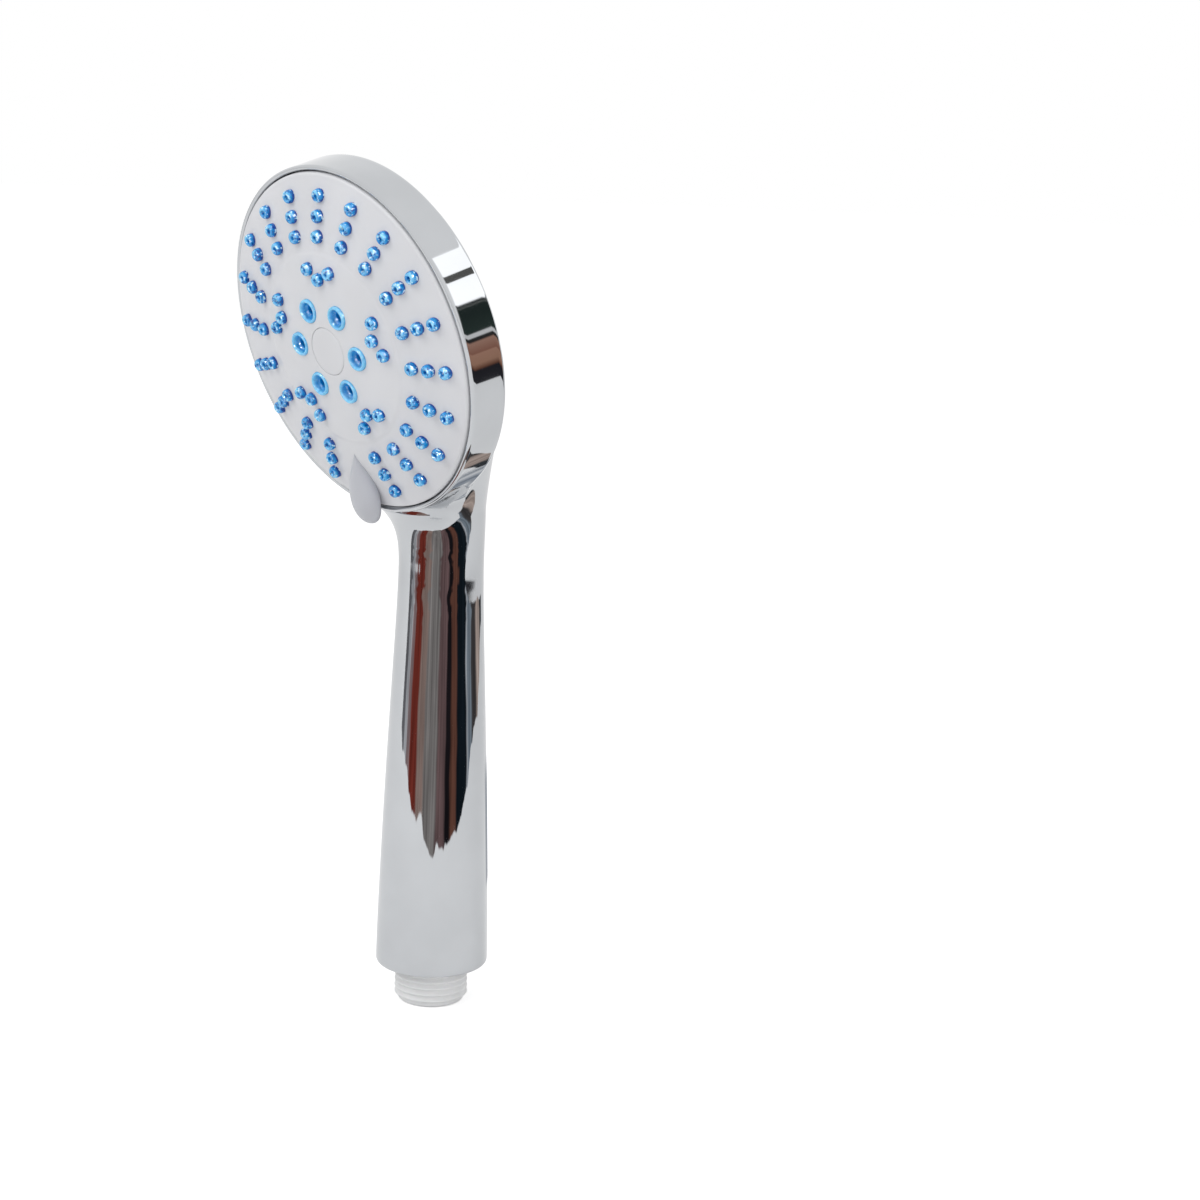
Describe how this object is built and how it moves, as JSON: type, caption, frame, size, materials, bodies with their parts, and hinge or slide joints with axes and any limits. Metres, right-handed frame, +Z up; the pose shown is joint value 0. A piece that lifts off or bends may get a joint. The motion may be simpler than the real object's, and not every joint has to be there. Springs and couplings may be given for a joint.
{
  "type": "handheld shower head",
  "caption": "Chromed handheld shower head with a round domed spray face, blue soft nozzles, a turning thumb lever that picks the spray and a threaded inlet at the foot of the handle.",
  "frame": {"origin": "centre of the lower end of the threaded inlet, on the handle's axis", "axes": "+Z up the handle's axis, -Y the side that sprays, +X the right-hand side when the spray face is looked at"},
  "size_m": [0.0964, 0.0659, 0.2396],
  "materials": {
    "chrome": "polished chrome plating on ABS",
    "white_plastic": "white, slightly translucent",
    "grey_plastic": "light grey, satin",
    "inner_plastic": "off-white, satin",
    "blue_silicone": "translucent blue, glossy",
    "amber_plastic": "amber, low friction",
    "green_plastic": "green, satin",
    "stainless": "plain",
    "black_rubber": "matte"
  },
  "bodies": {
    "body": {"body_shell": "chrome", "waterway_tube": "white_plastic", "inlet_screen": "stainless", "flow_disc": "green_plastic", "tube_rings": "black_rubber", "manifold": "inner_plastic", "distributor": "inner_plastic", "plate_screws": "stainless", "seal_spring": "stainless", "detent_spring": "stainless", "hub_ring": "black_rubber", "centre_washer": "stainless", "centre_screw": "stainless"},
    "face": {"valve_disc": "inner_plastic", "chamber_plate": "inner_plastic", "swirl_disc": "amber_plastic", "face_plate": "grey_plastic", "rain_mat": "blue_silicone", "mist_mat": "blue_silicone", "massage_jets": "blue_silicone", "centre_cap": "grey_plastic"},
    "turbine": {"turbine": "amber_plastic"},
    "seal": {"port_seal": "black_rubber"},
    "click_pin": {"detent_pin": "amber_plastic"}
  },
  "joints": [
    {"name": "selector_turn", "type": "hinge", "parent": "body", "child": "face", "pos_m": [0, -0.0333, 0.1902], "axis": [0, -0.9603, -0.279], "range_deg": [-25, 25]},
    {"name": "turbine_spin", "type": "hinge", "parent": "face", "child": "turbine", "pos_m": [0, -0.0333, 0.1902], "axis": [0, -0.9603, -0.279], "continuous": true},
    {"name": "port_seal_press", "type": "slide", "parent": "body", "child": "seal", "axis": [0, -0.9603, -0.279], "range_m": [-0.0005, 0], "stiffness_N_per_m": 1500, "springref_m": 0.0004, "deforming": ["seal_spring"]},
    {"name": "click_pin_slide", "type": "slide", "parent": "body", "child": "click_pin", "axis": [0, -0.9603, -0.279], "range_m": [0, 0.0008], "stiffness_N_per_m": 800, "springref_m": 0.0024, "deforming": ["detent_spring"]}
  ]
}
